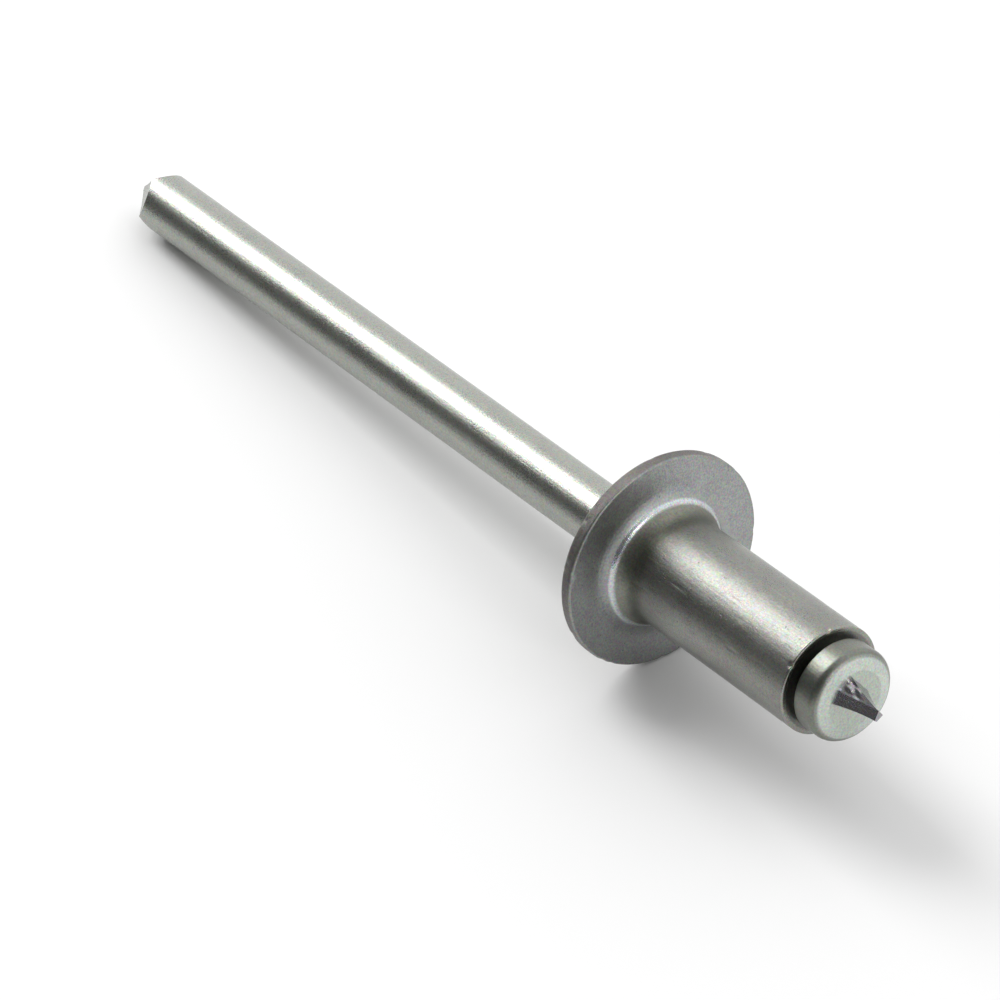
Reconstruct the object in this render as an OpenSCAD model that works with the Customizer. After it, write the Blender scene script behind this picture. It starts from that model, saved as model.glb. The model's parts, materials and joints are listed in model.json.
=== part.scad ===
// Unset blind rivet, 4.8 mm, lying as it comes to rest on a table.
// It leans on the edge of its flange and on the cut tail of its mandrel.
// Each piece is drawn along +Z, with the flange's seat at zero and the blind end
// above it, and is then laid down together with the other.

/* [Sleeve and flange] */
// Outside diameter of the sleeve
sleeve_d = 4.8; // [4:0.1:6]
// Length of the sleeve, from the flange's seat to its blind end
sleeve_len = 10.8; // [8:0.1:16]
// Radius on the outer edge of the sleeve's blind end
sleeve_edge = 0.18; // [0.05:0.01:0.3]
// Diameter of the flange
flange_d = 9.5; // [8:0.1:12]
// Thickness of the flange's straight rim, from the seat to where the dome starts
rim_t = 0.6; // [0.5:0.05:0.8]
// Height of the flange, from its seat to the top of its dome
flange_h = 1.45; // [1.1:0.05:1.8]
// Diameter of the flat ring on top of the dome
crown_d = 3.8; // [3.4:0.1:5]
// Radius on the rim's edge beside the seat
seat_edge = 0.12; // [0.05:0.01:0.2]
// Radius on the rim's edge beside the dome
dome_edge = 0.25; // [0.1:0.01:0.3]
// Radius of the fillet between the seat and the sleeve
neck_fillet = 1.1; // [0.5:0.05:1.3]
// Radius on the bore's edge in the crown
bore_edge = 0.15; // [0.05:0.01:0.2]

/* [Mandrel] */
// Diameter of the mandrel's wire
wire_d = 2.68; // [2.4:0.02:2.9]
// Radial gap between the wire and the bore
bore_gap = 0.04; // [0.02:0.01:0.08]
// Length of the wire beyond the flange's seat, up to the tip of its cut tail
tail_len = 37.6; // [28:0.1:45]
// Angle between the wire's axis and the first face of the cut tail
tail_face_angle = 36; // [30:0.5:50]
// Half the width of the tail's blunt tip
tail_tip = 0.1; // [0.05:0.01:0.3]
// Hollow of each cut face, across its middle
cut_hollow = 0.05; // [0.02:0.01:0.1]
// Turn of the tail's first face about the axis
tail_turn = 61; // [0:1:89]

/* [Break notch] */
// Distance from the sleeve's blind end down to the notch, inside the bore
notch_below = 2.2; // [1.5:0.1:4]
// Depth of the notch on each side of the wire
notch_depth = 0.35; // [0.2:0.05:0.5]

/* [Mandrel head] */
// Diameter of the head
head_d = 4.1; // [3.8:0.05:4.6]
// Length of the head, from its lower edge to its end face
head_len = 1.3; // [1:0.05:1.6]
// Gap between the sleeve's blind end and the head's lower edge
head_gap = 0.35; // [0.15:0.01:0.4]
// Diameter of the cone that seats in the bore's mouth, where it leaves the head
seat_cone_d = 3.6; // [3.4:0.05:3.7]
// Radius on the head's lower edge
head_edge = 0.08; // [0.04:0.01:0.12]
// Radius of the head's shoulder
shoulder = 0.42; // [0.3:0.01:0.5]
// Diameter of the flat disc in the middle of the end face
disc_d = 2.6; // [2.4:0.05:2.8]
// Slope of the band between the disc and the shoulder
band_slope = 13; // [5:1:20]

/* [Nub] */
// Height of the nub on the end face
nub_h = 1.55; // [1:0.05:2.2]
// Distance from the axis to the foot of the nub's first face
nub_foot = 1.15; // [0.9:0.01:1.2]
// Distance from the axis to the tip's edge on the nub's first face
nub_tip = 0.3; // [0.2:0.01:0.4]
// Turn of the nub's first face about the axis
nub_turn = 209; // [0:1:359]

/* [Hidden] */

// Number of segments of each drawn circle
$fn = 96;
// Overrun of a cutter past the face that it opens
over = 1;
// Depth to which a pinched point runs on into the metal that carries it
root = 0.5;

// The dies meet unevenly. For each face of the tail: its turn from the first one
// and what its angle has more than the first one's
tail_uneven = [[0, 0], [100, 1], [180, -1], [264, -2.5]];
// For each face of the nub: its turn from the first one, and its distances from
// the axis at the foot and at the tip, as shares of the first one's
nub_uneven = [[0, 1, 1], [30, 1.1, 0.83], [111, 0.34, 0.53], [180, 0.17, 0.1], [270, 0.43, 0.5]];

sleeve_r = sleeve_d / 2;
flange_r = flange_d / 2;
crown_r = crown_d / 2;
wire_r = wire_d / 2;
bore_r = wire_r + bore_gap;
head_r = head_d / 2;
seat_cone_r = seat_cone_d / 2;
disc_r = disc_d / 2;

// Heights along the axis, from the flange's seat
head_low = sleeve_len + head_gap;
head_top = head_low + head_len;
nub_top = head_top + nub_h;
cone_low = head_low - (seat_cone_r - wire_r);
mouth_low = cone_low + bore_gap;
mouth_r = wire_r + (sleeve_len - cone_low);
notch_at = sleeve_len - notch_below;

// The dome is part of a ball whose centre lies on the axis. It passes through
// the crown's outer edge and through the sharp corner that the rim would have.
dome_centre = (pow(flange_r, 2) - pow(crown_r, 2) + pow(rim_t, 2) - pow(flange_h, 2))
    / (2 * (flange_h - rim_t));
dome_r = norm([crown_r, flange_h + dome_centre]);

// The arc that rounds the rim into the dome touches the rim and the dome
rim_arc_r = flange_r - dome_edge;
rim_arc_y = dome_centre - sqrt(pow(dome_r - dome_edge, 2) - pow(rim_arc_r, 2));

// The shoulder's arc runs into the sloping band
shoulder_y = head_top - shoulder * cos(band_slope)
    - (head_r - shoulder + shoulder * sin(band_slope) - disc_r) * tan(band_slope);

// Height of the tail's cut, and the height at which it meets the wire's lowest line
tail_cut = (wire_r - tail_tip) / tan(tail_face_angle + min([for (face = tail_uneven) face[1]]));
tail_low = -tail_len + max([
    for (face = tail_uneven)
        (wire_r * cos(tail_turn + face[0]) - tail_tip) / tan(tail_face_angle + face[1])
]);

// Faces of both pinched points: turn, distance at the foot and distance at the tip
tail_faces = [
    for (face = tail_uneven) [
        tail_turn + face[0],
        tail_tip + tail_cut * tan(tail_face_angle + face[1]),
        tail_tip
    ]
];
nub_faces = [
    for (face = nub_uneven) [nub_turn + face[0], nub_foot * face[1], nub_tip * face[2]]
];

// At rest the rim's arc and the end of the wire touch the table
rest_run = rim_arc_y - tail_low;
rest_rise = rim_arc_r - wire_r;
tilt = atan2(rest_rise, rest_run) + asin(dome_edge / norm([rest_run, rest_rise]));
rest_z = wire_r * cos(tilt) - tail_low * sin(tilt);
rest_x = (tail_len - nub_top) / 2 * cos(tilt);

// Lays what is drawn along +Z down on the table, with the blind end towards +X
module laid() {
    translate([rest_x, 0, rest_z])
        rotate([0, 90 - tilt, 0])
            children();
}

// Cutter that rounds a square corner at the origin, with the metal at -X and -Y
module corner_cutter(radius) {
    difference() {
        translate([-radius, -radius])
            square(radius + over);
        translate([-radius, -radius])
            circle(r = radius);
    }
}

// Metal that fills a square inner corner at the origin, towards +X and +Y
module corner_fillet(radius) {
    difference() {
        square(radius);
        translate([radius, radius])
            circle(r = radius);
    }
}

// Outline of the flange, to one side of the axis
module flange_outline() {
    reach = dome_edge + over;
    arc_turn = atan2(rim_arc_y - dome_centre, rim_arc_r);
    difference() {
        intersection() {
            translate([0, -flange_h])
                square([flange_r, flange_h]);
            translate([0, dome_centre])
                circle(r = dome_r, $fn = 4 * $fn);
        }
        translate([flange_r, 0])
            corner_cutter(seat_edge);
        translate([rim_arc_r, rim_arc_y])
            difference() {
                polygon([
                    [0, 0], [reach, 0], [reach, -reach],
                    reach * [cos(arc_turn), sin(arc_turn)]
                ]);
                circle(r = dome_edge);
            }
    }
}

// Outline of the bore, with its rounded edge in the crown and its mouth,
// a cone that fits the one under the mandrel's head
module bore_outline() {
    translate([0, -flange_h - over])
        square([bore_r, sleeve_len + flange_h + 2 * over]);
    translate([bore_r, -flange_h])
        mirror([1, 0])
            corner_cutter(bore_edge);
    polygon([
        [0, mouth_low], [bore_r, mouth_low], [mouth_r, sleeve_len],
        [mouth_r, sleeve_len + over], [0, sleeve_len + over]
    ]);
}

// Outline of the sleeve with its flange, to one side of the axis
module body_outline() {
    difference() {
        union() {
            flange_outline();
            difference() {
                translate([0, -rim_t])
                    square([sleeve_r, sleeve_len + rim_t]);
                translate([sleeve_r, sleeve_len])
                    corner_cutter(sleeve_edge);
            }
            translate([sleeve_r, 0])
                corner_fillet(neck_fillet);
        }
        bore_outline();
    }
}

// Outline of the mandrel between its tail and its end face
module mandrel_outline() {
    band_r = head_r - shoulder + shoulder * sin(band_slope);
    band_y = shoulder_y + shoulder * cos(band_slope);
    difference() {
        union() {
            polygon([
                [0, tail_cut - tail_len], [wire_r, tail_cut - tail_len],
                [wire_r, cone_low], [seat_cone_r, head_low], [head_r, head_low],
                [head_r, shoulder_y], [head_r - shoulder, shoulder_y],
                [band_r, band_y], [disc_r, head_top], [0, head_top]
            ]);
            translate([head_r - shoulder, shoulder_y])
                circle(r = shoulder);
        }
        translate([head_r, head_low])
            mirror([0, 1])
                corner_cutter(head_edge);
    }
}

// Outline of the metal behind one cut face, which a large arc hollows
module cut_face_outline(foot, tip, height) {
    run = norm([foot - tip, height]);
    arc_r = (pow(run / 2, 2) + pow(cut_hollow, 2)) / (2 * cut_hollow);
    difference() {
        translate([-wire_d, -root])
            square([2 * wire_d, height + root]);
        translate([(foot + tip) / 2, height / 2])
            rotate(atan2(foot - tip, height))
                translate([arc_r - cut_hollow, 0])
                    circle(r = arc_r, $fn = 4 * $fn);
    }
}

// Point that the pinching dies leave on the wire, with a cut face on each side
module pinched_point(faces, height) {
    intersection_for (face = faces)
        rotate([0, 0, face[0]])
            rotate([90, 0, 0])
                linear_extrude(height = 2 * wire_d, center = true)
                    cut_face_outline(face[1], face[2], height);
}

// Cutter of the two notches at which the wire breaks when the rivet is set
module break_notch() {
    for (side = [0, 1])
        mirror([side, 0, 0])
            translate([wire_r - notch_depth, 0, notch_at])
                rotate([90, 0, 0])
                    linear_extrude(height = 2 * wire_r + over, center = true)
                        polygon([[0, 0], [over, over], [over, -over]]);
}

// Sleeve and flange, turned from one piece of aluminium
module rivet_body() {
    color("#b4b4af")
        laid()
            rotate_extrude()
                body_outline();
}

// Mandrel: the wire, its upset head, the nub on the head and the cut tail
module mandrel() {
    color("#c6c9c7")
        laid()
            difference() {
                union() {
                    rotate_extrude()
                        intersection() {
                            mandrel_outline();
                            translate([0, -tail_len])
                                square([head_r, tail_len + head_top]);
                        }
                    translate([0, 0, head_top])
                        pinched_point(nub_faces, nub_h);
                    translate([0, 0, tail_cut - tail_len])
                        mirror([0, 0, 1])
                            intersection() {
                                translate([0, 0, -root])
                                    cylinder(r = wire_r, h = tail_cut + root);
                                pinched_point(tail_faces, tail_cut);
                            }
                }
                break_notch();
            }
}

rivet_body();
mandrel();
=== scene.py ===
"""Looks of an unset blind rivet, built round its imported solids.

The sleeve with its flange is cold-formed aluminium with a tumbled skin. The mandrel is
drawn, plated steel wire with an upset head, a pinched nub and a pinch-cut tail. Sizes are
in millimetres along the rivet's own axis, with the flange's seat at zero, and each piece
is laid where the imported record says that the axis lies.
"""

import json
import logging
import math
import random
from dataclasses import dataclass, field
from enum import Enum
from typing import Callable, Iterable

import bmesh
import bpy
from bmesh.types import BMesh, BMEdge, BMVert
from bpy.types import Material, NodeSocket, NodeTree, Object
from mathutils import Matrix, Vector, kdtree, noise


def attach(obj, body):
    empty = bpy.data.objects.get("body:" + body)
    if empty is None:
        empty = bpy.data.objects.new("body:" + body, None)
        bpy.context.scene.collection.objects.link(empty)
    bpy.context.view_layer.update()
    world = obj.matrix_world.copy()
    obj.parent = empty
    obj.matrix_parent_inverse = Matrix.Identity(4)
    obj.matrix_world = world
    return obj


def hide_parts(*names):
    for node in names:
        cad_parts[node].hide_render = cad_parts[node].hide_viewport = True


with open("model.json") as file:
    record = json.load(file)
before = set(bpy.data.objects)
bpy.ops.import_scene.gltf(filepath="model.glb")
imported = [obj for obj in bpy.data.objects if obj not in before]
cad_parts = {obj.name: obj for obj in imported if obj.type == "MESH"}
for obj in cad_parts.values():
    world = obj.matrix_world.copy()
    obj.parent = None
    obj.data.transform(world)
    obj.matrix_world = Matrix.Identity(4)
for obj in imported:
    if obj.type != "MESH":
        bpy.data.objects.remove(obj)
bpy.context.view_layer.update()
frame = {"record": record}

LOG = logging.getLogger("rivet")
MM = 0.001
BODY = "root"
SHARP = 20.0
MERGE_WITHIN = 1e-5
SKIN_OCTAVES = 3
HALVINGS = 18

Pair = tuple[float, float]
Triple = tuple[float, float, float]


class Node(Enum):
    """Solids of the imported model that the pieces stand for."""

    SLEEVE = "rivet_body"
    MANDREL = "mandrel"


class Slot(Enum):
    """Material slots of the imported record."""

    ALUMINIUM = "body_aluminium"
    STEEL = "mandrel_steel"


@dataclass(frozen=True)
class RivetAxis:
    """Where the rivet's axis lies: the middle of the flange's seat and the lean."""

    seat: Vector
    lean: float

    @classmethod
    def from_record(cls, record: dict) -> "RivetAxis":
        """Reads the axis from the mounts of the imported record.

        Args:
            record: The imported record.

        Returns:
            The axis, in metres and radians.
        """
        mounts = {mount["name"]: mount for mount in record["mounts"]}
        along = Vector(mounts["sleeve"]["axis"]).normalized()
        on_axis = Vector(mounts["sleeve"]["pos_m"])
        on_seat = Vector(mounts["flange_seat"]["pos_m"])
        seat = on_axis + along * (on_seat - on_axis).dot(along)
        return cls(seat, math.atan2(along.x, along.z))

    def matrix(self) -> Matrix:
        """Places what is drawn in millimetres along +Z."""
        turn = Matrix.Rotation(self.lean, 4, "Y")
        return Matrix.Translation(self.seat) @ turn @ Matrix.Scale(MM, 4)


# Mesh tools


class TurnedOutline:
    """Half outline of a turned piece, drawn from point to point in the XZ plane."""

    ARC_STEP = 9.0
    LEAST_STEPS = 6
    SECTORS = 12

    def __init__(self, radius: float, height: float) -> None:
        """Starts the outline.

        Args:
            radius: Distance of the first point from the axis.
            height: Height of the first point along the axis.
        """
        self.mesh: BMesh = bmesh.new()
        self.first: BMVert = self.mesh.verts.new((radius, 0.0, height))
        self.tip: BMVert = self.first
        self.corners: list[tuple[BMVert, float]] = []

    def line(self, radius: float, height: float, rounding: float = 0.0) -> None:
        """Draws a straight line to a new point.

        Args:
            radius: Distance of the new point from the axis.
            height: Height of the new point.
            rounding: Radius that the corner at the new point gets.
        """
        made = bmesh.ops.extrude_vert_indiv(self.mesh, verts=[self.tip])
        self.tip = made["verts"][0]
        self.tip.co = (radius, 0.0, height)
        if rounding:
            self.corners.append((self.tip, rounding))

    def arc(self, radius: float, height: float, degrees: float, steps: int) -> None:
        """Draws an arc from the last point, clockwise as seen with the axis up.

        Args:
            radius: Distance of the arc's centre from the axis.
            height: Height of the arc's centre.
            degrees: Angle of the arc.
            steps: Number of edges.
        """
        made = bmesh.ops.spin(
            self.mesh,
            geom=[self.tip],
            cent=(radius, 0.0, height),
            axis=(0.0, 1.0, 0.0),
            angle=math.radians(degrees),
            steps=steps,
        )
        self.tip = next(item for item in made["geom_last"] if isinstance(item, BMVert))

    def close(self) -> None:
        """Joins the last point to the first."""
        self.mesh.edges.new((self.tip, self.first))

    def round_corners(self) -> None:
        """Rounds each corner that was drawn with a radius."""
        for corner, radius in self.corners:
            sides = [edge.other_vert(corner).co - corner.co for edge in corner.link_edges]
            inner = sides[0].angle(sides[1])
            swept = 180.0 - math.degrees(inner)
            bmesh.ops.bevel(
                self.mesh,
                geom=[corner],
                offset=radius / math.tan(inner / 2.0),
                offset_type="OFFSET",
                affect="VERTICES",
                segments=max(self.LEAST_STEPS, round(swept / self.ARC_STEP)),
                profile=0.5,
                material=-1,
            )

    def divide(self, step: float, low: Vector, high: Vector) -> None:
        """Divides the long edges whose middle lies in a box of the XZ plane.

        Args:
            step: Longest edge that is left.
            low: Least radius and height of the box.
            high: Greatest radius and height of the box.
        """
        for edge in self.mesh.edges[:]:
            middle = (edge.verts[0].co + edge.verts[1].co) / 2.0
            inside = low[0] <= middle.x <= high[0] and low[1] <= middle.z <= high[1]
            cuts = math.ceil(edge.calc_length() / step) - 1
            if inside and cuts > 0:
                bmesh.ops.subdivide_edges(self.mesh, edges=[edge], cuts=cuts)

    def turn(self, steps: int) -> BMesh:
        """Turns the outline once round the axis, one sector and then its copies.

        Args:
            steps: Number of faces round the axis, a multiple of the sectors.

        Returns:
            The turned mesh, with its seams merged.
        """
        sector = math.tau / self.SECTORS
        for angle, count, copies in (
            (sector, steps // self.SECTORS, False),
            (math.tau - sector, self.SECTORS - 1, True),
        ):
            bmesh.ops.spin(
                self.mesh,
                geom=self.mesh.verts[:] + self.mesh.edges[:] + self.mesh.faces[:],
                cent=(0.0, 0.0, 0.0),
                axis=(0.0, 0.0, 1.0),
                angle=angle,
                steps=count,
                use_duplicate=copies,
            )
        doubles = self.mesh.verts[:]
        bmesh.ops.remove_doubles(self.mesh, verts=doubles, dist=MERGE_WITHIN)
        return self.mesh


@dataclass(frozen=True)
class CutFace:
    """Cut face: its turn about the axis, and its distance from it at foot and tip."""

    turn: float
    foot: float
    tip: float

    def outward(self) -> Vector:
        """Direction in which the face looks, seen along the axis."""
        angle = math.radians(self.turn)
        return Vector((math.cos(angle), math.sin(angle)))


@dataclass(frozen=True)
class PinchedPoint:
    """Point that pinching dies leave on wire, with a hollow cut face on each side."""

    FACING = 0.05

    faces: tuple[CutFace, ...]
    height: float
    hollow: float
    base: float
    heading: float

    def reach(self, face: CutFace, share: float) -> float:
        """Distance of a face from the axis at a share of the point's height."""
        slope = math.hypot(1.0, (face.foot - face.tip) / self.height)
        hollow = 4.0 * share * (1.0 - share) * self.hollow * slope
        return face.foot + (face.tip - face.foot) * share - hollow

    def corners(self, share: float) -> list[Vector]:
        """Corners of the point at a share of its height, each before its face."""
        found = []
        for index, face in enumerate(self.faces):
            before = self.faces[index - 1]
            sides = Matrix((before.outward(), face.outward()))
            reach = Vector((self.reach(before, share), self.reach(face, share)))
            found.append(sides.inverted() @ reach)
        return found

    def point(self, share: float, side: int, along: float) -> Vector:
        """Point of a cut face.

        Args:
            share: Share of the point's height.
            side: Number of the face.
            along: Share of the way across the face, in the sense of its turn.

        Returns:
            The point, in millimetres.
        """
        corners = self.corners(share)
        flat = corners[side].lerp(corners[(side + 1) % len(corners)], along)
        return Vector((flat.x, flat.y, self.base + self.heading * self.height * share))

    def width(self, share: float, angle: float) -> float:
        """Distance from the axis to the point's side, in a direction."""
        way = Vector((math.cos(angle), math.sin(angle)))
        parts = ((self.reach(face, share), way.dot(face.outward())) for face in self.faces)
        return min(reach / part for reach, part in parts if part > self.FACING)


def share_where(inside: Callable[[float], bool]) -> float:
    """Least share from 0 to 1 from which on something is true, by halving."""
    low, high = 0.0, 1.0
    if inside(low):
        return low
    for _ in range(HALVINGS):
        middle = (low + high) / 2.0
        low, high = (low, middle) if inside(middle) else (middle, high)
    return high


@dataclass(frozen=True)
class Column:
    """Column of vertices on a cut face: where it starts, and its way across the face."""

    side: int
    start: float
    low: float
    high: float

    def place(self, point: PinchedPoint, climbed: float) -> Vector:
        """Place of the column's vertex after a share of its climb to the tip."""
        share = self.start + (1.0 - self.start) * climbed
        along = self.low + (self.high - self.low) * climbed
        return point.point(share, self.side, along)


def columns_of(point: PinchedPoint, count: int, radius: float) -> list[Column]:
    """Spreads columns of vertices over a pinched point, with one on each crease.

    Args:
        point: The pinched point.
        count: Number of columns round the axis.
        radius: Radius of the wire in which the cut faces end, or infinity.

    Returns:
        The columns, in turn order from the X axis.
    """
    number = len(point.faces)
    starts, firsts = [], []
    for index in range(number):
        start = share_where(lambda share: point.corners(share)[index].length <= radius)
        corner = point.corners(start)[index]
        starts.append(start)
        firsts.append(round(math.atan2(corner.y, corner.x) / math.tau * count))
    columns: dict[int, Column] = {}
    for index in range(number):
        span = (firsts[(index + 1) % number] - firsts[index]) % count
        columns[firsts[index] % count] = Column(index, starts[index], 0.0, 0.0)
        for step in range(1, span):
            angle = (firsts[index] + step) / count * math.tau
            start = share_where(lambda share: point.width(share, angle) <= radius)
            low = step / span
            if math.isfinite(radius):
                corners = point.corners(start)
                side = corners[(index + 1) % number] - corners[index]
                place = Vector((math.cos(angle), math.sin(angle))) * radius
                low = (place - corners[index]).dot(side) / side.length_squared
            columns[(firsts[index] + step) % count] = Column(
                index, start, min(1.0, max(0.0, low)), step / span
            )
    return [columns[index] for index in range(count)]


def next_ring(
    mesh: BMesh, ring: list[BMEdge], move: Callable[[BMVert], Vector]
) -> list[BMEdge]:
    """Extrudes a ring of edges and moves the new ring.

    Args:
        mesh: The mesh that holds the ring.
        ring: Edges of the ring.
        move: Gives the new place of a vertex of the new ring.

    Returns:
        The edges of the new ring.
    """
    made = bmesh.ops.extrude_edge_only(mesh, edges=ring)["geom"]
    verts = [item for item in made if isinstance(item, BMVert)]
    fresh = set(verts)
    for vert in verts:
        vert.co = move(vert)
    edges = (item for item in made if isinstance(item, BMEdge))
    return [edge for edge in edges if fresh.issuperset(edge.verts)]


@dataclass(frozen=True)
class Dent:
    """Shallow dent: its place on the surface, size, depth and stretch along the axis."""

    radius: float
    height: float
    turn: float
    size: float
    depth: float
    stretch: float = 1.0

    def centre(self) -> Vector:
        """Middle of the dent, in millimetres."""
        angle = math.radians(self.turn)
        return Vector(
            (self.radius * math.cos(angle), self.radius * math.sin(angle), self.height)
        )


def press_dents(mesh: BMesh, dents: Iterable[Dent]) -> None:
    """Presses dents into a mesh, along the normals that it has before the first.

    Args:
        mesh: The mesh, in millimetres.
        dents: The dents.
    """
    mesh.normal_update()
    mesh.verts.ensure_lookup_table()
    tree = kdtree.KDTree(len(mesh.verts))
    for index, vert in enumerate(mesh.verts):
        tree.insert(vert.co, index)
    tree.balance()
    inward = [-vert.normal for vert in mesh.verts]
    sunk = [0.0] * len(mesh.verts)
    for dent in dents:
        centre = dent.centre()
        for place, index, _ in tree.find_range(centre, dent.size * max(1.0, dent.stretch)):
            away = place - centre
            away.z /= dent.stretch
            share = away.length / dent.size
            if share < 1.0:
                sunk[index] += dent.depth * (1.0 - share * share) ** 2
    for vert, depth, way in zip(mesh.verts, sunk, inward):
        if depth:
            vert.co += way * depth


def move_skin(mesh: BMesh, move: Callable[[BMVert], Vector]) -> None:
    """Moves a mesh's vertices by what the skin before all the moves gives.

    Args:
        mesh: The mesh, in millimetres.
        move: Gives the move of a vertex.
    """
    mesh.normal_update()
    moves = [move(vert) for vert in mesh.verts]
    for vert, way in zip(mesh.verts, moves):
        vert.co += way


def settle_skin(mesh: BMesh, depth: float, waves: Triple) -> None:
    """Sinks a mesh's skin unevenly, as working and tumbling leave it.

    Args:
        mesh: The mesh, in millimetres.
        depth: Greatest depth to which a point sinks.
        waves: Waves of the unevenness per millimetre, along each axis.
    """
    scale = Vector(waves)

    def sink(vert: BMVert) -> Vector:
        """Move of a vertex against its normal."""
        place = Vector(a * b for a, b in zip(vert.co, scale))
        wave = noise.fractal(place, 1.0, 2.0, SKIN_OCTAVES) * 0.5 + 0.5
        return vert.normal * (-depth * min(1.0, max(0.0, wave)))

    move_skin(mesh, sink)


def make_object(name: str, mesh: BMesh, material: Material) -> Object:
    """Turns a mesh into an object at the origin.

    Args:
        name: Name of the object.
        mesh: The mesh, in metres. It is freed.
        material: Its material.

    Returns:
        The new object, linked to the scene.
    """
    data = bpy.data.meshes.new(name)
    mesh.to_mesh(data)
    mesh.free()
    data.materials.append(material)
    made = bpy.data.objects.new(name, data)
    bpy.context.scene.collection.objects.link(made)
    return made


def make_piece(name: str, mesh: BMesh, axis: RivetAxis, material: Material) -> Object:
    """Turns a finished mesh into a piece of the rivet.

    Args:
        name: Name of the piece.
        mesh: The mesh, in millimetres along the rivet's axis. It is freed.
        axis: Where the rivet's axis lies.
        material: The piece's material.

    Returns:
        The piece.
    """
    bmesh.ops.recalc_face_normals(mesh, faces=mesh.faces[:])
    mesh.transform(axis.matrix())
    for face in mesh.faces:
        face.smooth = True
    piece = make_object(name, mesh, material)
    piece.data.set_sharp_from_angle(angle=math.radians(SHARP))
    return piece


# Finishes

FLOAT, VECTOR, COLOUR = "NodeSocketFloat", "NodeSocketVector", "NodeSocketColor"
WHITE = (1.0, 1.0, 1.0, 1.0)
NOISE_SPAN = (0.3, 0.7)


class Bench:
    """Short way to add and join nodes of one node tree."""

    def __init__(self, tree: NodeTree) -> None:
        """Keeps the tree."""
        self.tree = tree

    def add(self, kind: str, **settings: object) -> bpy.types.Node:
        """Adds a node.

        Args:
            kind: The node's type.
            **settings: Properties of the node.

        Returns:
            The node.
        """
        node = self.tree.nodes.new(kind)
        for name, value in settings.items():
            setattr(node, name, value)
        return node

    def feed(self, node: bpy.types.Node, **sources: object) -> bpy.types.Node:
        """Sets or links a node's inputs.

        Args:
            node: The node.
            **sources: For each input, named or numbered as i0, i1, a value or an output.

        Returns:
            The node.
        """
        for name, source in sources.items():
            numbered = name[0] == "i" and name[1:].isdigit()
            key = int(name[1:]) if numbered else name.replace("_", " ")
            socket = node.inputs[key]
            if isinstance(source, NodeSocket):
                self.tree.links.new(source, socket)
            else:
                socket.default_value = source
        return node

    def math(self, operation: str, first: object, second: object = 0.0) -> object:
        """Output of a Math node on two values or outputs."""
        node = self.add("ShaderNodeMath", operation=operation)
        return self.feed(node, i0=first, i1=second).outputs[0]

    def fit(self, value: object, old: tuple, new: tuple) -> object:
        """Output that goes between two new values as the value does between two old."""
        node = self.add("ShaderNodeMapRange", clamp=True)
        self.feed(node, i0=value, i1=old[0], i2=old[1], i3=new[0], i4=new[1])
        return node.outputs[0]

    def mix(
        self, share: object, first: object, second: object, way: str = "MIX"
    ) -> object:
        """Output of a mix of two colours, in one of the ways that the node knows."""
        node = self.add("ShaderNodeMix", data_type="RGBA", blend_type=way)
        return self.feed(node, i0=share, i6=first, i7=second).outputs[2]

    def toward(self, share: object, first: object, second: object) -> object:
        """Output that goes from one value to another with a share."""
        node = self.add("ShaderNodeMix", data_type="FLOAT")
        return self.feed(node, i0=share, i2=first, i3=second).outputs[0]

    def split(self, vector: object) -> list[NodeSocket]:
        """Outputs X, Y and Z of a vector."""
        node = self.add("ShaderNodeSeparateXYZ")
        return list(self.feed(node, i0=vector).outputs)

    def noise(self, place: object, **values: object) -> bpy.types.Node:
        """A noise texture that follows a vector, with values for its other inputs."""
        node = self.add("ShaderNodeTexNoise", noise_dimensions="3D")
        return self.feed(node, Vector=place, **values)


def new_group(
    name: str, inputs: dict[str, float | None], outputs: dict[str, str]
) -> tuple:
    """Makes a shader node group.

    Args:
        name: The group's name.
        inputs: For each input, its first value, or None for a vector.
        outputs: For each output, its socket type.

    Returns:
        The group, its bench, its inputs by name and its output node.
    """
    tree = bpy.data.node_groups.new(name, "ShaderNodeTree")
    for title, value in inputs.items():
        kind = VECTOR if value is None else FLOAT
        socket = tree.interface.new_socket(name=title, in_out="INPUT", socket_type=kind)
        if value is not None:
            socket.default_value = value
    for title, kind in outputs.items():
        tree.interface.new_socket(name=title, in_out="OUTPUT", socket_type=kind)
    bench = Bench(tree)
    return tree, bench, bench.add("NodeGroupInput").outputs, bench.add("NodeGroupOutput")


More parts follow.
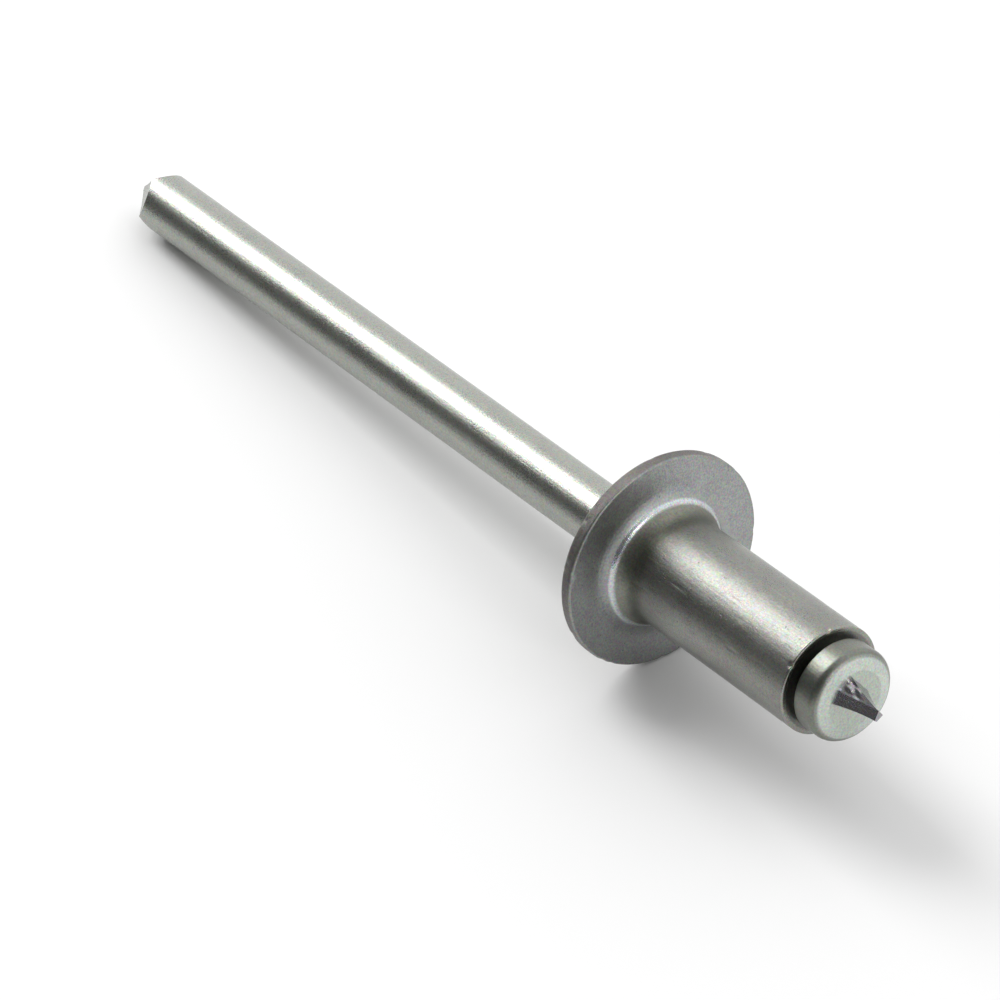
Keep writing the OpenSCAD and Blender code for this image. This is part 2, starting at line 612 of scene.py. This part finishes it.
class SkinEffects:
    """Node groups that both metals use, each built once."""

    def __init__(self) -> None:
        """Builds the groups."""
        self.marks = self.build_long_marks()
        self.grain = self.build_grain()
        self.pits = self.build_pits()
        self.zone = self.build_zone()

    @staticmethod
    def build_long_marks() -> NodeTree:
        """Lines that run along the axis, as drawing and rolling leave them."""
        tree, bench, put, out = new_group(
            "long_marks", {"Place": None, "Across": 8.0, "Along": 0.2}, {"Mark": FLOAT}
        )
        rates = (put["Across"], put["Across"], put["Along"])
        parts = zip(bench.split(put["Place"]), rates)
        waves = [bench.math("MULTIPLY", part, rate) for part, rate in parts]
        join = bench.add("ShaderNodeCombineXYZ")
        bench.feed(join, i0=waves[0], i1=waves[1], i2=waves[2])
        pattern = bench.noise(join.outputs[0], Scale=1.0, Detail=3.0, Roughness=0.6)
        bench.feed(out, Mark=pattern.outputs["Fac"])
        return tree

    @staticmethod
    def build_grain() -> NodeTree:
        """Fine mottle of a tumbled or plated skin."""
        tree, bench, put, out = new_group(
            "skin_grain",
            {"Place": None, "Fineness": 8.0, "Cloud": 1.2},
            {"Grain": FLOAT, "Patches": FLOAT, "Flecks": COLOUR},
        )
        place, fineness = put["Place"], put["Fineness"]
        fine = bench.noise(place, Scale=fineness, Detail=3.0, Roughness=0.65)
        broad = bench.noise(
            place, Scale=put["Cloud"], Detail=4.0, Roughness=0.55, Distortion=0.4
        )
        half = bench.math("MULTIPLY", fineness, 0.5)
        flecks = bench.noise(place, Scale=half, Detail=1.0)
        bench.feed(
            out,
            Grain=fine.outputs["Fac"],
            Patches=bench.fit(broad.outputs["Fac"], NOISE_SPAN, (0.0, 1.0)),
            Flecks=flecks.outputs["Color"],
        )
        return tree

    @staticmethod
    def build_pits() -> NodeTree:
        """Scattered pits, 1 in the middle of a pit and 0 between them."""
        tree, bench, put, out = new_group(
            "pits", {"Place": None, "Number": 2.0, "Size": 0.2}, {"Pit": FLOAT}
        )
        cells = bench.add("ShaderNodeTexVoronoi", feature="F1")
        bench.feed(cells, Vector=put["Place"], Scale=put["Number"])
        hue = bench.feed(bench.add("ShaderNodeSeparateColor"), i0=cells.outputs["Color"])
        size = bench.math("MULTIPLY", put["Size"], hue.outputs[0])
        ratio = bench.math("DIVIDE", cells.outputs["Distance"], size)
        bench.feed(out, Pit=bench.fit(ratio, (0.4, 1.0), (1.0, 0.0)))
        return tree

    @staticmethod
    def build_zone() -> NodeTree:
        """Mask of a ring-shaped zone, with edges that fade."""
        limits = {"Inner": 0.0, "Outer": 1.0, "Low": 0.0, "High": 1.0, "Edge": 0.1}
        tree, bench, put, out = new_group(
            "zone", {"Place": None, **limits}, {"Mask": FLOAT}
        )
        *flat, height = bench.split(put["Place"])
        squares = [bench.math("POWER", part, 2.0) for part in flat]
        radius = bench.math("SQRT", bench.math("ADD", *squares))
        mask = None
        for first, second in (
            (radius, put["Inner"]),
            (put["Outer"], radius),
            (height, put["Low"]),
            (put["High"], height),
        ):
            inside = bench.math("SUBTRACT", first, second)
            share = bench.math("ADD", bench.math("DIVIDE", inside, put["Edge"]), 0.5)
            share.node.use_clamp = True
            mask = share if mask is None else bench.math("MULTIPLY", mask, share)
        bench.feed(out, Mask=mask)
        return tree


@dataclass(frozen=True)
class Zone:
    """Ring-shaped zone of a piece whose tone, roughness and grain differ from the rest.
    Several zones' tones are painted light: shade, highlights and reflections.
    """

    radii: Pair
    heights: Pair
    edge: float
    tone: Triple
    roughness: float
    grain: float


@dataclass(frozen=True)
class MetalFinish:
    """Worked metal: colours, gloss, and the marks, grain and pits of its skin."""

    name: str
    light: Triple
    dull: Triple
    gloss: Pair
    marks_across: float
    marks_along: float
    mark_depth: float
    grain_fineness: float
    grain_depth: float
    cloud: float
    pit_number: float
    pit_size: float
    pit_depth: float
    flecks: float
    zones: tuple[Zone, ...] = ()


class MetalMaker(Bench):
    """Makes the material of one finish, whose patterns follow the rivet's axis."""

    LINE_TONE = 0.4
    CLOUD_TONE = 0.2
    PIT_DARKNESS = 0.45
    PIT_TONE = 0.6
    CLOUD_GLOSS = 0.25
    GLOSS_SPAN = (0.35, 0.9)
    PIT_ROUGHNESS = 0.15

    def __init__(self, finish: MetalFinish, effects: SkinEffects, axis: RivetAxis) -> None:
        """Starts the material and puts the shared patterns into it.

        Args:
            finish: The finish.
            effects: The shared node groups.
            axis: Where the rivet's axis lies.
        """
        self.finish, self.effects = finish, effects
        self.material = bpy.data.materials.new(finish.name)
        self.material.use_nodes = True
        super().__init__(self.material.node_tree)
        self.place = self.millimetres(axis)
        across, along = finish.marks_across, finish.marks_along
        marks = self.effect(effects.marks, Across=across, Along=along)
        fineness, cloud = finish.grain_fineness, finish.cloud
        grain = self.effect(effects.grain, Fineness=fineness, Cloud=cloud)
        pits = self.effect(effects.pits, Number=finish.pit_number, Size=finish.pit_size)
        self.mark, self.pit = marks["Mark"], pits["Pit"]
        self.fine, self.cloud, self.flecks = grain

    def millimetres(self, axis: RivetAxis) -> NodeSocket:
        """Object coordinates in millimetres along the rivet's axis.

        Args:
            axis: Where the rivet's axis lies.

        Returns:
            The vector output.
        """
        mapping = self.add("ShaderNodeMapping", vector_type="TEXTURE")
        self.feed(
            mapping,
            Vector=self.add("ShaderNodeTexCoord").outputs["Object"],
            Location=axis.seat,
            Rotation=(0.0, axis.lean, 0.0),
            Scale=(MM, MM, MM),
        )
        return mapping.outputs["Vector"]

    def effect(self, group: NodeTree, **values: float) -> object:
        """Outputs of a shared group that follows the place, with its other inputs."""
        node = self.add("ShaderNodeGroup", node_tree=group)
        return self.feed(node, Place=self.place, **values).outputs

    def tone(self) -> object:
        """Dull to light with lines, grain and clouds, then flecks, then dark pits.

        Returns:
            The colour output.
        """
        finish, flecks = self.finish, self.finish.flecks
        lines = self.math("ADD", self.mark, self.fine)
        lines = self.math("MULTIPLY", lines, self.LINE_TONE)
        cloud = self.math("MULTIPLY", self.cloud, self.CLOUD_TONE)
        share = self.fit(self.math("ADD", lines, cloud), NOISE_SPAN, (0.0, 1.0))
        tone = self.mix(share, (*finish.dull, 1.0), (*finish.light, 1.0))
        low, high = NOISE_SPAN
        spread = self.add("ShaderNodeMapRange", data_type="FLOAT_VECTOR")
        self.feed(spread, Vector=self.flecks, From_Min=(low,) * 3, From_Max=(high,) * 3)
        self.feed(spread, To_Min=(1.0 - flecks,) * 3, To_Max=(1.0 + flecks,) * 3)
        tone = self.mix(1.0, tone, spread.outputs["Vector"], "MULTIPLY")
        dark = tuple(value * self.PIT_DARKNESS for value in finish.dull)
        return self.mix(self.math("MULTIPLY", self.pit, self.PIT_TONE), tone, (*dark, 1.0))

    def roughness(self) -> object:
        """Roughness, uneven with the grain and the clouds, and higher in the pits.

        Returns:
            The output.
        """
        cloud = self.math("MULTIPLY", self.cloud, self.CLOUD_GLOSS)
        rough = self.math("ADD", self.fine, cloud)
        rough = self.fit(rough, self.GLOSS_SPAN, self.finish.gloss)
        return self.math("ADD", rough, self.math("MULTIPLY", self.pit, self.PIT_ROUGHNESS))

    def relief(self, depth: object) -> object:
        """Relief of the lines, the grain and the pits.

        Args:
            depth: Depth of the grain, in millimetres.

        Returns:
            The normal's output.
        """
        lines = self.math("MULTIPLY", self.mark, self.finish.mark_depth)
        centred = self.math("SUBTRACT", self.fine, 0.5)
        height = self.math("ADD", lines, self.math("MULTIPLY", centred, depth))
        pit = self.math("MULTIPLY", self.pit, self.finish.pit_depth)
        height = self.math("SUBTRACT", height, pit)
        bump = self.add("ShaderNodeBump")
        return self.feed(bump, Strength=1.0, Distance=MM, Height=height).outputs["Normal"]

    def build(self) -> Material:
        """Lays the zones, several of which paint shade, highlights and reflections into
        the tone, over the patterns and joins both to the shader.

        Returns:
            The material.
        """
        tone, rough, depth = self.tone(), self.roughness(), self.finish.grain_depth
        for zone in self.finish.zones:
            (inner, outer), (low, high) = zone.radii, zone.heights
            sizes = {"Inner": inner, "Outer": outer, "Low": low, "High": high}
            share = self.effect(self.effects.zone, Edge=zone.edge, **sizes)["Mask"]
            # Several zones' tones multiplied in here are painted shade, painted highlights
            # and painted reflections.
            tone = self.mix(share, tone, (*zone.tone, 1.0), "MULTIPLY")
            rough = self.toward(share, rough, zone.roughness)
            depth = self.toward(share, depth, zone.grain)
        shader = self.tree.nodes["Principled BSDF"]
        normal = self.relief(depth)
        self.feed(shader, Base_Color=tone, Metallic=1.0, Roughness=rough, Normal=normal)
        return self.material


# Radii, heights, edge, tone, roughness and grain of each zone

# Painted reflection: the flange's seat is lighter and bluer than the metal, standing in
# for a brighter reflection of the floor.
SEAT_PAINTED_REFLECTION = Zone((2.75, 4.68), (-0.3, 0.4), 0.2, (1.28, 1.3, 1.4), 0.3, 0.008)
# Painted highlight: the narrow ring on the fillet is made much lighter than the metal,
# over the real ridge that raise_ring draws.
FILLET_RING_PAINTED_HIGHLIGHT = Zone((2.72, 2.9), (0.08, 0.46), 0.08, (1.75, 1.8, 1.9), 0.12, 0.003)
# Painted shade: the sleeve's neck is darkened all round where it meets the flange.
NECK_PAINTED_SHADE = Zone((1.0, 2.72), (0.1, 1.55), 0.5, (0.84, 0.85, 0.78), 0.33, 0.009)
RIM_SIDE = Zone((4.7, 5.0), (-2.0, -0.08), 0.06, (0.58, 0.54, 0.56), 0.4, 0.03)
# Painted highlight: the sleeve's rounded end edge is made lighter than the metal.
SLEEVE_END_PAINTED_HIGHLIGHT = Zone((2.2, 2.6), (10.72, 11.0), 0.08, (1.15, 1.16, 1.12), 0.24, 0.006)
# Painted shade: the sleeve's end face is darkened in the gap under the mandrel's head.
END_RING_PAINTED_SHADE = Zone((1.2, 2.2), (10.6, 11.0), 0.08, (0.72, 0.72, 0.72), 0.3, 0.008)

# Painted dark reflection: the head's side is darkened all round.
HEAD_SIDE_PAINTED_SHADE = Zone((1.7, 2.3), (11.0, 12.28), 0.12, (0.55, 0.56, 0.54), 0.31, 0.009)
# Painted reflection: the head's end face is made much lighter than the steel.
END_FACE_PAINTED_REFLECTION = Zone((-1.0, 1.8), (12.28, 12.52), 0.08, (1.58, 1.66, 1.68), 0.36, 0.008)
END_DISC = Zone((-1.0, 1.3), (12.4, 12.52), 0.08, (0.86, 0.86, 0.84), 0.4, 0.01)
NUB_SKIN = Zone((-1.0, 1.6), (12.5, 15.2), 0.06, (0.98, 0.92, 1.06), 0.17, 0.006)

TUMBLED_ALUMINIUM = MetalFinish(
    name="tumbled_aluminium",
    light=(0.283, 0.285, 0.262),
    dull=(0.211, 0.213, 0.196),
    gloss=(0.25, 0.35),
    marks_across=11.0,
    marks_along=0.6,
    mark_depth=0.006,
    grain_fineness=22.0,
    grain_depth=0.015,
    cloud=0.8,
    pit_number=3.2,
    pit_size=0.17,
    pit_depth=0.008,
    flecks=0.22,
    zones=(SEAT_PAINTED_REFLECTION, FILLET_RING_PAINTED_HIGHLIGHT, NECK_PAINTED_SHADE, RIM_SIDE, SLEEVE_END_PAINTED_HIGHLIGHT, END_RING_PAINTED_SHADE),
)

DRAWN_STEEL = MetalFinish(
    name="drawn_steel",
    light=(0.38, 0.392, 0.356),
    dull=(0.302, 0.312, 0.284),
    gloss=(0.23, 0.33),
    marks_across=13.0,
    marks_along=0.35,
    mark_depth=0.005,
    grain_fineness=22.0,
    grain_depth=0.01,
    cloud=0.6,
    pit_number=2.8,
    pit_size=0.1,
    pit_depth=0.006,
    flecks=0.18,
    zones=(HEAD_SIDE_PAINTED_SHADE, END_FACE_PAINTED_REFLECTION, END_DISC, NUB_SKIN),
)


# Pieces


@dataclass
class SleeveWithFlange:
    """Aluminium sleeve with its domed flange, turned from one outline."""

    axis: RivetAxis
    sleeve_radius: float = 2.4
    sleeve_length: float = 10.8
    sleeve_edge: float = 0.08
    flange_radius: float = 4.75
    rim_height: float = 0.6
    flange_height: float = 1.45
    crown_radius: float = 1.9
    seat_edge: float = 0.12
    dome_edge: float = 0.25
    neck_fillet: float = 1.1
    bore_radius: float = 1.38
    bore_edge: float = 0.15
    mouth_radius: float = 1.45
    mouth_depth: float = 0.07
    edge_steps: int = 8
    dome_steps: int = 30
    faces_round: int = 288
    seed: int = 11
    marks: tuple[Dent, ...] = (
        Dent(2.4, 3.15, -147.0, 0.16, 0.01),
        Dent(2.4, 5.3, -173.0, 0.13, 0.008),
        Dent(2.4, 4.9, -163.0, 0.12, 0.008),
        Dent(2.4, 10.72, -131.0, 0.2, 0.06),
        Dent(2.4, 10.72, 178.0, 0.18, 0.06),
        Dent(2.4, 3.6, -128.8, 0.1, 0.012, 9.0),
        Dent(2.4, 6.2, -151.5, 0.1, 0.01, 8.0),
        Dent(4.2, 0.0, 172.5, 0.12, 0.03),
        Dent(4.4, 0.0, 173.5, 0.12, 0.03),
    )
    ring_radius: float = 2.81
    ring_width: float = 0.12
    ring_rise: float = 0.022
    mesh_step: float = 0.07
    skin_depth: float = 0.012
    skin_waves: Triple = (0.9, 0.9, 0.5)
    sleeve_nicks: int = 64
    nick_heights: Pair = (1.4, 10.5)
    nick_sizes: Pair = (0.09, 0.2)
    nick_slopes: Pair = (0.03, 0.09)
    nick_stretches: Pair = (1.0, 3.0)
    rim_nicks: int = 16
    rim_nick_heights: Pair = (0.0, -0.45)
    rim_nick_sizes: Pair = (0.12, 0.3)
    rim_nick_slopes: Pair = (0.06, 0.16)

    def dome(self) -> Pair:
        """Height of the dome's centre on the axis, and the dome's radius."""
        rise = self.flange_height - self.rim_height
        squares = self.flange_radius**2 - self.crown_radius**2
        squares += self.rim_height**2 - self.flange_height**2
        centre = squares / (2.0 * rise)
        return centre, math.hypot(self.crown_radius, self.flange_height + centre)

    def outline(self) -> TurnedOutline:
        """Outline of the sleeve, its neck, the flange and the bore."""
        centre, radius = self.dome()
        arc_radius = self.flange_radius - self.dome_edge
        arc_height = centre - math.sqrt((radius - self.dome_edge) ** 2 - arc_radius**2)
        edge_turn = math.degrees(math.atan2(centre - arc_height, arc_radius))
        crown_turn = math.degrees(
            math.atan2(centre + self.flange_height, self.crown_radius)
        )
        pen = TurnedOutline(self.bore_radius, self.sleeve_length - self.mouth_depth)
        pen.line(self.mouth_radius, self.sleeve_length)
        pen.line(self.sleeve_radius, self.sleeve_length, self.sleeve_edge)
        pen.line(self.sleeve_radius, 0.0, self.neck_fillet)
        pen.line(self.flange_radius, 0.0, self.seat_edge)
        pen.line(self.flange_radius, arc_height)
        pen.arc(arc_radius, arc_height, edge_turn, self.edge_steps)
        pen.arc(0.0, centre, crown_turn - edge_turn, self.dome_steps)
        pen.line(self.bore_radius, -self.flange_height, self.bore_edge)
        pen.close()
        pen.round_corners()
        low = Vector((self.bore_radius + 0.01, -self.flange_height - 1.0))
        high = Vector((self.flange_radius + 1.0, self.sleeve_length + 1.0))
        pen.divide(self.mesh_step, low, high)
        return pen

    def dents(self) -> list[Dent]:
        """The marks that the photograph shows, and small nicks from tumbling."""
        draw = random.Random(self.seed)
        nicks = list(self.marks)
        for _ in range(self.sleeve_nicks):
            height = draw.uniform(*self.nick_heights)
            turn = draw.uniform(-180.0, 180.0)
            size = draw.uniform(*self.nick_sizes)
            depth = size * draw.uniform(*self.nick_slopes)
            stretch = draw.uniform(*self.nick_stretches)
            nicks.append(Dent(self.sleeve_radius, height, turn, size, depth, stretch))
        for height in self.rim_nick_heights:
            for _ in range(self.rim_nicks):
                turn = draw.uniform(-180.0, 180.0)
                size = draw.uniform(*self.rim_nick_sizes)
                depth = size * draw.uniform(*self.rim_nick_slopes)
                nicks.append(Dent(self.flange_radius, height, turn, size, depth))
        return nicks

    def raise_ring(self, mesh: BMesh) -> None:
        """Raises the ring that the forming tool leaves round the neck's fillet.

        Args:
            mesh: The mesh, with its faces outward.
        """

        def rise(vert: BMVert) -> Vector:
            """Move of a vertex along its normal."""
            away = (vert.co.xy.length - self.ring_radius) / self.ring_width
            if abs(away) < 1.0 and 0.0 < vert.co.z < self.neck_fillet:
                return vert.normal * self.ring_rise * (1.0 - away**2) ** 2
            return Vector()

        move_skin(mesh, rise)

    def build(self, material: Material) -> Object:
        """Builds the piece.

        Args:
            material: Its material.

        Returns:
            The object.
        """
        mesh = self.outline().turn(self.faces_round)
        bmesh.ops.recalc_face_normals(mesh, faces=mesh.faces[:])
        self.raise_ring(mesh)
        settle_skin(mesh, self.skin_depth, self.skin_waves)
        press_dents(mesh, self.dents())
        piece = make_piece("sleeve_with_flange", mesh, self.axis, material)
        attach(piece, BODY)
        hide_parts(Node.SLEEVE.value)
        return piece


@dataclass
class MandrelWithHead:
    """Steel mandrel: the drawn wire, the upset head, the nub and the cut tail."""

    axis: RivetAxis
    wire_radius: float = 1.34
    tail_length: float = 37.6
    tail_tip: float = 0.1
    tail_angles: tuple[Pair, ...] = (
        (61.0, 36.0),
        (161.0, 37.0),
        (241.0, 35.0),
        (325.0, 33.5),
    )
    cone_low: float = 10.69
    cone_radius: float = 1.8
    head_low: float = 11.1
    head_top: float = 12.45
    head_radius: float = 2.05
    head_edge: float = 0.08
    shoulder: float = 0.42
    band_slope: float = 13.0
    disc_radius: float = 1.3
    notch_at: float = 8.6
    notch_depth: float = 0.35
    nub_height: float = 1.55
    cut_hollow: float = 0.05
    nub_faces: tuple[CutFace, ...] = (
        CutFace(29.0, 0.196, 0.03),
        CutFace(126.0, 0.6, 0.15),
        CutFace(209.0, 1.2, 0.32),
        CutFace(239.0, 1.22, 0.21),
        CutFace(320.0, 0.47, 0.21),
    )
    faces_round: int = 360
    wire_step: float = 0.35
    fine_step: float = 0.06
    shoulder_steps: int = 14
    flat_steps: int = 9
    tail_steps: int = 26
    nub_steps: int = 28
    skin_depth: float = 0.008
    skin_waves: Triple = (1.6, 1.6, 0.12)
    marks: tuple[Dent, ...] = (
        Dent(1.2, 12.46, -161.0, 0.1, -0.06),
        Dent(1.21, 12.46, -138.0, 0.09, -0.05),
        Dent(1.0, 12.72, -152.0, 0.17, -0.06, 1.7),
        Dent(1.02, 12.64, -166.0, 0.12, 0.07, 1.8),
        Dent(0.84, 12.95, -164.0, 0.12, -0.05, 1.8),
        Dent(0.78, 13.1, -150.0, 0.12, 0.04, 1.8),
    )
    tail: PinchedPoint = field(init=False)
    nub: PinchedPoint = field(init=False)

    def __post_init__(self) -> None:
        """Works out both pinched points."""
        least = math.radians(min(angle for _, angle in self.tail_angles))
        rise = (self.wire_radius - self.tail_tip) / math.tan(least)
        cuts = tuple(
            CutFace(
                turn, self.tail_tip + rise * math.tan(math.radians(angle)), self.tail_tip
            )
            for turn, angle in self.tail_angles
        )
        base = rise - self.tail_length
        self.tail = PinchedPoint(cuts, rise, self.cut_hollow, base, -1.0)
        self.nub = PinchedPoint(
            self.nub_faces, self.nub_height, self.cut_hollow, self.head_top, 1.0
        )

    def outline(self) -> TurnedOutline:
        """Outline of the wire and the head, from the tail's cut to the end disc."""
        slope = math.radians(self.band_slope)
        arc_radius = self.head_radius - self.shoulder
        band_radius = arc_radius + self.shoulder * math.sin(slope)
        band_height = self.head_top - (band_radius - self.disc_radius) * math.tan(slope)
        arc_height = band_height - self.shoulder * math.cos(slope)
        pen = TurnedOutline(self.wire_radius, self.tail.base + self.fine_step)
        pen.line(self.wire_radius, self.cone_low)
        pen.line(self.cone_radius, self.head_low)
        pen.line(self.head_radius, self.head_low, self.head_edge)
        pen.line(self.head_radius, arc_height)
        pen.arc(arc_radius, arc_height, self.band_slope - 90.0, self.shoulder_steps)
        pen.line(self.disc_radius, self.head_top)
        pen.round_corners()
        wire = self.wire_radius + 0.01
        reach = self.notch_depth + 0.05
        low, high = self.notch_at - reach, self.notch_at + reach
        far = self.tail_length
        pen.divide(self.wire_step, Vector((0.0, -far)), Vector((wire, self.notch_at)))
        pen.divide(self.fine_step, Vector((0.0, low)), Vector((wire, high)))
        pen.divide(self.fine_step, Vector((0.0, self.head_low)), Vector((far, far)))
        return pen

    def open_ring(self, mesh: BMesh, above: bool) -> list[BMEdge]:
        """Edges of the open ring at one end, whose vertices get their column's number.

        Args:
            mesh: The mesh, with a layer for the numbers.
            above: Whether the ring is the one at the head's end.

        Returns:
            The edges.
        """
        number = mesh.verts.layers.int["column"]
        rings = [edge for edge in mesh.edges if edge.is_boundary]
        ring = [edge for edge in rings if (edge.verts[0].co.z > 0.0) == above]
        for vert in {vert for edge in ring for vert in edge.verts}:
            angle = math.atan2(vert.co.y, vert.co.x)
            index = round(angle / math.tau * self.faces_round)
            vert[number] = index % self.faces_round
        return ring

    def raise_point(
        self, mesh: BMesh, point: PinchedPoint, steps: int, flat_steps: int = 1
    ) -> None:
        """Builds a pinched point on the open ring at its end and closes its tip.

        Args:
            mesh: The mesh, with a layer for the columns' numbers.
            point: The pinched point.
            steps: Number of rings on the climb.
            flat_steps: Number of steps from the open ring to the point's foot.
        """
        number = mesh.verts.layers.int["column"]
        radius = self.wire_radius if point is self.tail else math.inf
        columns = columns_of(point, self.faces_round, radius)
        ring = self.open_ring(mesh, above=point is self.nub)

        def target(vert: BMVert, climbed: float) -> Vector:
            """Place of a vertex's column after a share of the climb."""
            return columns[vert[number]].place(point, climbed)

        for left in range(flat_steps, 1, -1):
            ring = next_ring(
                mesh, ring, lambda vert: vert.co.lerp(target(vert, 0.0), 1.0 / left)
            )
        for step in range(steps + 1):
            ring = next_ring(mesh, ring, lambda vert: target(vert, step / steps))
        bmesh.ops.contextual_create(mesh, geom=ring)

    def cut_notch(self, mesh: BMesh) -> None:
        """Presses the two notches at which the wire breaks."""
        for vert in mesh.verts:
            room = self.wire_radius - self.notch_depth + abs(vert.co.z - self.notch_at)
            if vert.co.z < self.cone_low and abs(vert.co.x) > room:
                vert.co.x = math.copysign(room, vert.co.x)

    def build(self, material: Material) -> Object:
        """Builds the piece.

        Args:
            material: Its material.

        Returns:
            The object.
        """
        mesh = self.outline().turn(self.faces_round)
        number = mesh.verts.layers.int.new("column")
        self.raise_point(mesh, self.nub, self.nub_steps, self.flat_steps)
        self.raise_point(mesh, self.tail, self.tail_steps)
        mesh.verts.layers.int.remove(number)
        self.cut_notch(mesh)
        bmesh.ops.recalc_face_normals(mesh, faces=mesh.faces[:])
        settle_skin(mesh, self.skin_depth, self.skin_waves)
        press_dents(mesh, self.marks)
        piece = make_piece("mandrel_with_head", mesh, self.axis, material)
        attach(piece, BODY)
        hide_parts(Node.MANDREL.value)
        return piece


# Studio


@dataclass(frozen=True)
class Softbox:
    """Rectangular lamp: where it hangs as seen from the rivet, its size and glow."""

    name: str
    way: Vector
    distance: float
    width: float
    height: float
    radiance: float


@dataclass
class Studio:
    """Floor, surroundings, lamps and the camera."""

    axis: RivetAxis
    azimuth: float = 53.54
    elevation: float = 39.19
    camera_offset: Triple = (-6.603, 2.471, 285.535)
    focal_px: float = 7048.16
    frame_px: float = 1000.0
    softboxes: tuple[Softbox, ...] = (
        Softbox("main_softbox", Vector((-0.745, -0.15, 0.655)), 0.5, 0.215, 0.42, 4.9),
        Softbox("low_softbox", Vector((0.88, -0.03, 0.44)), 0.5, 0.12, 0.1, 4.0),
    )
    flag_ends: tuple[Pair, ...] = ((24.0, -28.5), (-42.0, 0.5))
    flag_height: float = 6.5
    flag_glow: float = 0.16
    sky_glow: float = 1.2
    sky_span: Pair = (-0.5, 0.3)
    floor_half: float = 3.0
    floor_tone: float = 0.89
    floor_roughness: float = 0.8
    aim_height: float = -12.0
    sensor: float = 36.0
    clip: Pair = (0.01, 50.0)

    @staticmethod
    def plain_material(name: str, tone: float, **values: object) -> Material:
        """Makes a grey material without gloss.

        Args:
            name: Its name.
            tone: How light its grey is.
            **values: Values of the shader's other inputs.

        Returns:
            The material.
        """
        material = bpy.data.materials.new(name)
        material.use_nodes = True
        shader = material.node_tree.nodes["Principled BSDF"]
        grey = (tone, tone, tone, 1.0)
        Bench(material.node_tree).feed(
            shader, Base_Color=grey, Specular_IOR_Level=0.0, **values
        )
        return material

    def build_camera(self) -> None:
        """Sets the camera at the photograph's angle, with the photograph's lens."""
        turn, climb = math.radians(self.azimuth), math.radians(self.elevation)
        right = Vector((math.cos(turn), math.sin(turn), 0.0))
        back = Vector(
            (
                math.sin(turn) * math.cos(climb),
                -math.cos(turn) * math.cos(climb),
                math.sin(climb),
            )
        )
        up = back.cross(right)
        sideways, upward, away = (value * MM for value in self.camera_offset)
        place = self.axis.seat + right * sideways + up * upward + back * away
        lens = bpy.data.cameras.new("camera")
        lens.sensor_width = self.sensor
        lens.lens = self.focal_px / self.frame_px * self.sensor
        lens.clip_start, lens.clip_end = self.clip
        camera = bpy.data.objects.new("camera", lens)
        turned = Matrix((right, up, back)).transposed().to_4x4()
        camera.matrix_world = Matrix.Translation(place) @ turned
        bpy.context.scene.collection.objects.link(camera)
        bpy.context.scene.camera = camera

    def build_softbox(self, box: Softbox) -> None:
        """Hangs one lamp so that it faces the rivet, with its width along Y.

        Args:
            box: The lamp.
        """
        lamp = bpy.data.lights.new(box.name, "AREA")
        lamp.shape = "RECTANGLE"
        lamp.size, lamp.size_y = box.width, box.height
        lamp.energy = 4.0 * box.radiance * box.width * box.height
        way = box.way.normalized()
        across = (Vector((0.0, 1.0, 0.0)) - way * way.y).normalized()
        turned = Matrix((across, way.cross(across), way)).transposed().to_4x4()
        holder = bpy.data.objects.new(box.name, lamp)
        middle = self.axis.matrix() @ Vector((0.0, 0.0, self.aim_height))
        holder.matrix_world = Matrix.Translation(middle + way * box.distance) @ turned
        bpy.context.scene.collection.objects.link(holder)

    def build_world(self) -> None:
        """Surroundings: bright behind the rivet, darker towards the camera's side."""
        world = bpy.data.worlds.new("studio")
        bpy.context.scene.world = world
        world.use_nodes = True
        bench = Bench(world.node_tree)
        source = bench.add("ShaderNodeTexCoord")
        _, back, _ = bench.split(source.outputs["Generated"])
        glow = bench.fit(back, self.sky_span, (self.flag_glow, self.sky_glow))
        bench.feed(world.node_tree.nodes["Background"], Color=WHITE, Strength=glow)

    def build_floor(self) -> None:
        """Lays the pale floor."""
        mesh = bmesh.new()
        bmesh.ops.create_grid(mesh, x_segments=2, y_segments=2, size=self.floor_half)
        rough = self.floor_roughness
        pale = self.plain_material("pale_floor", self.floor_tone, Roughness=rough)
        floor = make_object("floor", mesh, pale)

    def build_flag(self) -> None:
        """Stands a dark board beside the rivet, which only its metal mirrors."""
        mesh = bmesh.new()
        feet = [mesh.verts.new((x * MM, y * MM, 0.0)) for x, y in self.flag_ends]
        rise = Vector((0.0, 0.0, self.flag_height * MM))
        next_ring(mesh, [mesh.edges.new(feet)], lambda vert: vert.co + rise)
        dark = self.plain_material(
            "dark_board", 0.0, Emission_Color=WHITE, Emission_Strength=self.flag_glow
        )
        flag = make_object("flag", mesh, dark)
        flag.visible_camera = False
        flag.visible_diffuse = False
        flag.visible_shadow = False

    def build(self) -> None:
        """Builds the whole studio."""
        self.build_floor()
        self.build_flag()
        self.build_world()
        for box in self.softboxes:
            self.build_softbox(box)
        self.build_camera()
        bpy.context.scene.view_settings.view_transform = "Standard"


def main() -> None:
    """Builds the studio and both pieces."""
    logging.basicConfig(level=logging.INFO, format="%(name)s: %(message)s")
    axis = RivetAxis.from_record(frame["record"])
    Studio(axis).build()
    effects = SkinEffects()
    aluminium = MetalMaker(TUMBLED_ALUMINIUM, effects, axis).build()
    steel = MetalMaker(DRAWN_STEEL, effects, axis).build()
    for piece in (
        SleeveWithFlange(axis).build(aluminium),
        MandrelWithHead(axis).build(steel),
    ):
        LOG.info("%s: %d faces", piece.name, len(piece.data.polygons))


if __name__ == "__main__":
    main()
